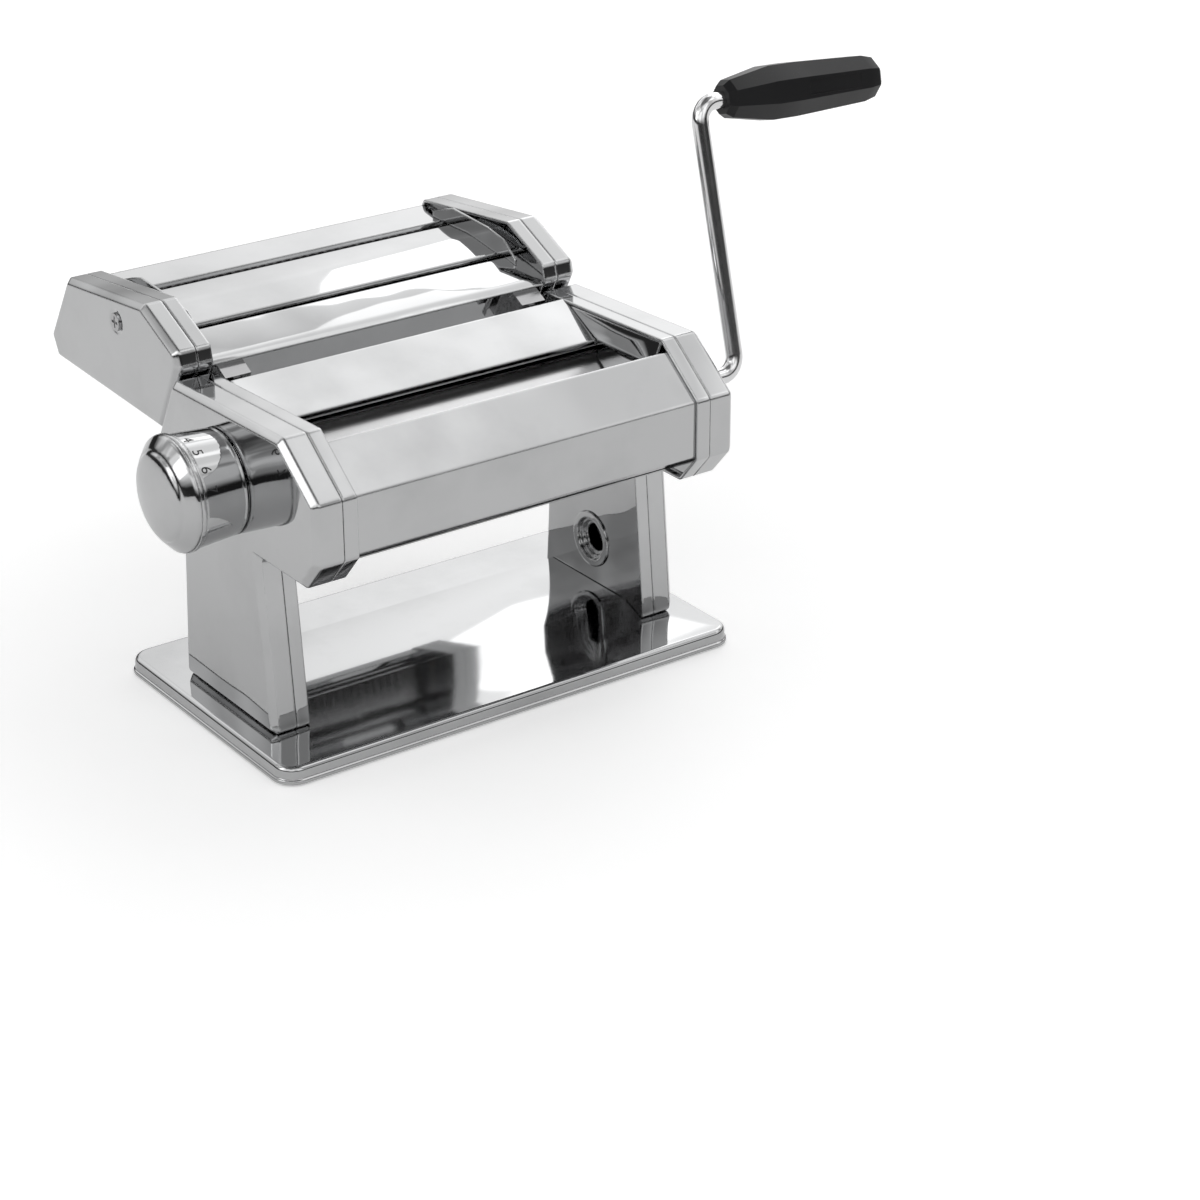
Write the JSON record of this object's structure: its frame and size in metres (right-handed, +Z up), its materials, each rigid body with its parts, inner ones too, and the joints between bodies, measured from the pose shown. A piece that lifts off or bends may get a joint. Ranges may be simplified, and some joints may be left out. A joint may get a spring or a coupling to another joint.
{
  "type": "hand-cranked dough roller",
  "caption": "Chrome table-top dough roller with smooth rollers, thickness knob, removable crank with black grip, and a lift-off unit of wide and narrow ribbon cutters",
  "frame": {"origin": "middle of the base's footprint, on the table under the rubber feet", "axes": "X along the rollers with the crank at +X and the thickness knob at -X, Y back towards the cutter unit, Z up"},
  "size_m": [0.3497, 0.2126, 0.2222],
  "materials": {
    "chrome": "mirror chrome plating on steel sheet",
    "steel": "plain bright steel",
    "roller_chrome": "ground and polished chrome",
    "cutter_steel": "machined steel",
    "gear_steel": "oiled hardened steel",
    "bronze": "sintered bronze",
    "rubber": "matt black rubber",
    "black_plastic": "moulded black plastic, satin gloss",
    "spring_steel": "drawn spring wire"
  },
  "bodies": {
    "frame": {"base_plate": "chrome", "base_feet": "rubber", "leg_screws": "steel", "inner_housing_left": "chrome", "inner_housing_right": "chrome", "outer_housing_left": "chrome", "outer_housing_right": "chrome", "bearing_plates": "steel", "clamp_bush": "steel", "tie_rods": "steel", "tie_nuts": "steel", "front_cover": "chrome", "rear_cover": "chrome", "dough_guide_left": "chrome", "dough_guide_right": "chrome", "scraper_front": "steel", "scraper_rear": "steel", "roller_bushes": "bronze", "shaft_bushes": "bronze", "index_pin": "steel", "rails": "steel"},
    "drive_roller": {"fixed_roller": "roller_chrome", "fixed_roller_gear": "gear_steel"},
    "crank": {"crank_rod": "chrome", "grip_clip": "steel"},
    "grip": {"crank_grip": "black_plastic"},
    "setting_shaft": {"thickness_shaft": "steel", "knob_retainer": "steel", "knob_spring": "spring_steel"},
    "knob": {"knob_drum": "chrome", "knob_cap": "chrome"},
    "carriers": {"roller_carriers": "bronze"},
    "setting_roller": {"thickness_roller": "roller_chrome", "thickness_roller_gear": "gear_steel"},
    "cutter_unit": {"cutter_side_left": "chrome", "cutter_side_right": "chrome", "cutter_cap_left": "chrome", "cutter_cap_right": "chrome", "cutter_plates": "steel", "cutter_deck_rear": "chrome", "cutter_deck_middle": "chrome", "cutter_deck_front": "chrome", "cutter_guides": "steel", "cutter_tie_rods": "steel", "cutter_bushes": "bronze", "cutter_screws": "steel", "rail_shoes": "steel", "combs": "steel"},
    "wide_driven": {"wide_roll_driven": "cutter_steel", "wide_gear_driven": "gear_steel"},
    "wide_mate": {"wide_roll_mate": "cutter_steel", "wide_gear_mate": "gear_steel"},
    "narrow_driven": {"narrow_roll_driven": "cutter_steel", "narrow_gear_driven": "gear_steel"},
    "narrow_mate": {"narrow_roll_mate": "cutter_steel", "narrow_gear_mate": "gear_steel"}
  },
  "joints": [
    {"name": "crank_turn", "type": "hinge", "parent": "frame", "child": "drive_roller", "pos_m": [0, -0.032, 0.105], "axis": [1, 0, 0], "continuous": true},
    {"name": "crank_pull", "type": "slide", "parent": "drive_roller", "child": "crank", "axis": [1, 0, 0], "range_m": [0, 0.025]},
    {"name": "grip_spin", "type": "hinge", "parent": "crank", "child": "grip", "pos_m": [0.18095, -0.00373, 0.20977], "axis": [0.999, -0.0114, -0.0421], "continuous": true},
    {"name": "knob_turn", "type": "hinge", "parent": "frame", "child": "setting_shaft", "pos_m": [0, -0.00635, 0.105], "axis": [1, 0, 0], "range_deg": [-41, 81]},
    {"name": "knob_pull", "type": "slide", "parent": "setting_shaft", "child": "knob", "axis": [-1, 0, 0], "range_m": [0, 0.004], "stiffness_N_per_m": 1500, "springref_m": -0.002, "deforming": ["knob_spring"]},
    {"name": "gap_slide", "type": "slide", "parent": "frame", "child": "carriers", "axis": [0, 1, 0], "range_m": [-0.0009, 0.0018]},
    {"name": "setting_roller_turn", "type": "hinge", "parent": "carriers", "child": "setting_roller", "pos_m": [0, -0.0068, 0.105], "axis": [1, 0, 0], "continuous": true},
    {"name": "cutter_lift", "type": "slide", "parent": "frame", "child": "cutter_unit", "axis": [0, -0.4741, 0.8805], "range_m": [0, 0.06]},
    {"name": "wide_roll_turn", "type": "hinge", "parent": "cutter_unit", "child": "wide_driven", "pos_m": [0, 0.0468, 0.13], "axis": [1, 0, 0], "continuous": true},
    {"name": "wide_mate_turn", "type": "hinge", "parent": "cutter_unit", "child": "wide_mate", "pos_m": [0, 0.0652, 0.13], "axis": [1, 0, 0], "continuous": true},
    {"name": "narrow_roll_turn", "type": "hinge", "parent": "cutter_unit", "child": "narrow_driven", "pos_m": [0, 0.0888, 0.134], "axis": [1, 0, 0], "continuous": true},
    {"name": "narrow_mate_turn", "type": "hinge", "parent": "cutter_unit", "child": "narrow_mate", "pos_m": [0, 0.1072, 0.134], "axis": [1, 0, 0], "continuous": true}
  ],
  "couplings": [
    {"joint": "knob_turn", "follows": "gap_slide", "rad_per_m": 775.7},
    {"joint": "setting_roller_turn", "follows": "crank_turn", "ratio": -1},
    {"joint": "wide_mate_turn", "follows": "wide_roll_turn", "ratio": -1},
    {"joint": "narrow_mate_turn", "follows": "narrow_roll_turn", "ratio": -1}
  ]
}
